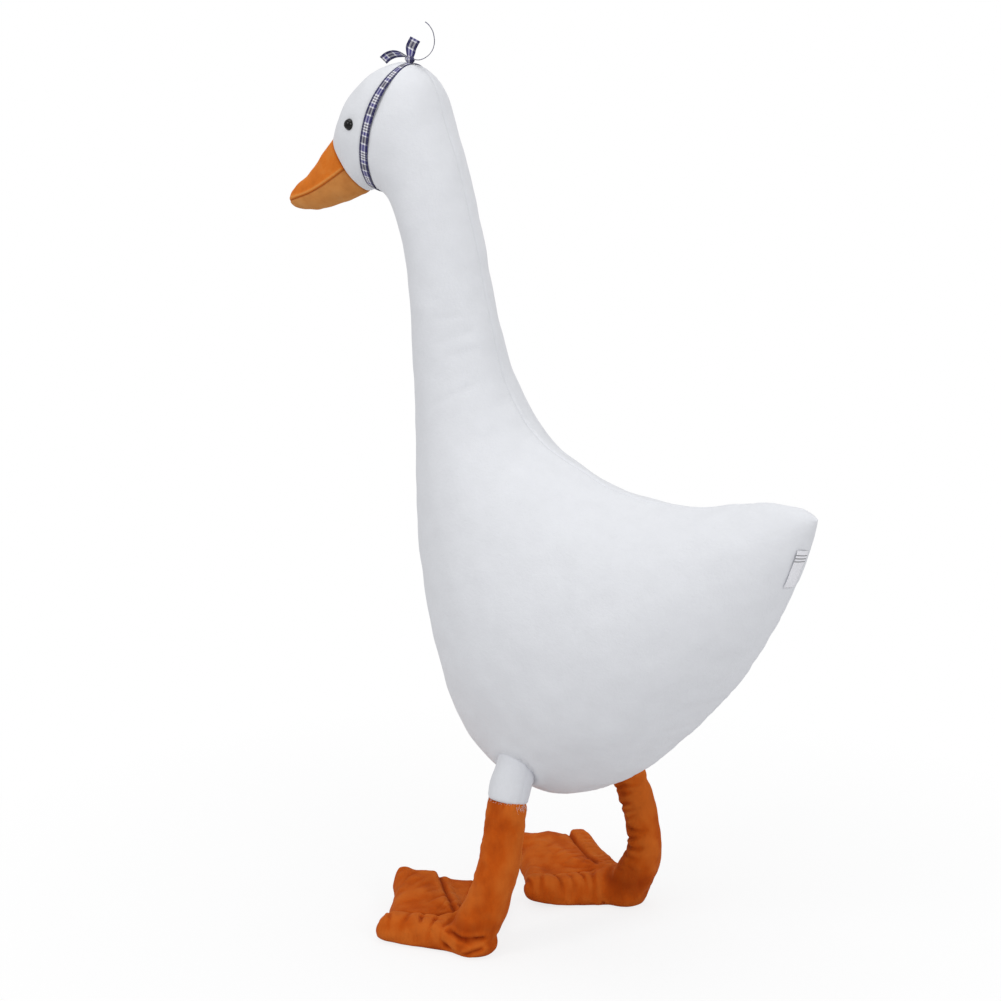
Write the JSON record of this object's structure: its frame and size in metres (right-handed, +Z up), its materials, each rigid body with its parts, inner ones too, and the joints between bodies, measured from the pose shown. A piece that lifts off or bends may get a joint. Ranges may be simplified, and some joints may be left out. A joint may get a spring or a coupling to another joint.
{
  "type": "plush goose",
  "caption": "Tall soft-toy goose standing on two webbed velvet feet, with a long neck, padded body, stuffed beak, safety eyes and a plaid ribbon tied round the head",
  "frame": {"origin": "the middle of the overall box, on the floor the feet stand on", "axes": "+Z up; the head looks to -X and the tail points to +X; the goose's own left side is -Y"},
  "size_m": [0.6244, 0.3134, 0.9067],
  "materials": {
    "white_plush": "short-pile plush",
    "orange_velvet": "velvet",
    "beak_velvet": "velvet",
    "filling": "loose fibre",
    "eye_black": "gloss",
    "washer_plastic": "matte",
    "plaid_ribbon": "woven plaid",
    "label_tape": "satin tape"
  },
  "bodies": {
    "root": {"body_panel_left": "white_plush", "body_panel_right": "white_plush", "body_stuffing": "filling", "beak_upper": "beak_velvet", "beak_lower": "beak_velvet", "beak_stuffing": "filling", "eye_left": "eye_black", "eye_right": "eye_black", "eye_washer_left": "washer_plastic", "eye_washer_right": "washer_plastic", "head_ribbon": "plaid_ribbon", "thigh_left": "white_plush", "thigh_right": "white_plush", "shank_left": "orange_velvet", "shank_right": "orange_velvet", "leg_stuffing_left": "filling", "leg_stuffing_right": "filling", "foot_top_left": "orange_velvet", "foot_top_right": "orange_velvet", "foot_sole_left": "orange_velvet", "foot_sole_right": "orange_velvet", "foot_stuffing_left": "filling", "foot_stuffing_right": "filling", "care_label": "label_tape"}
  },
  "joints": []
}
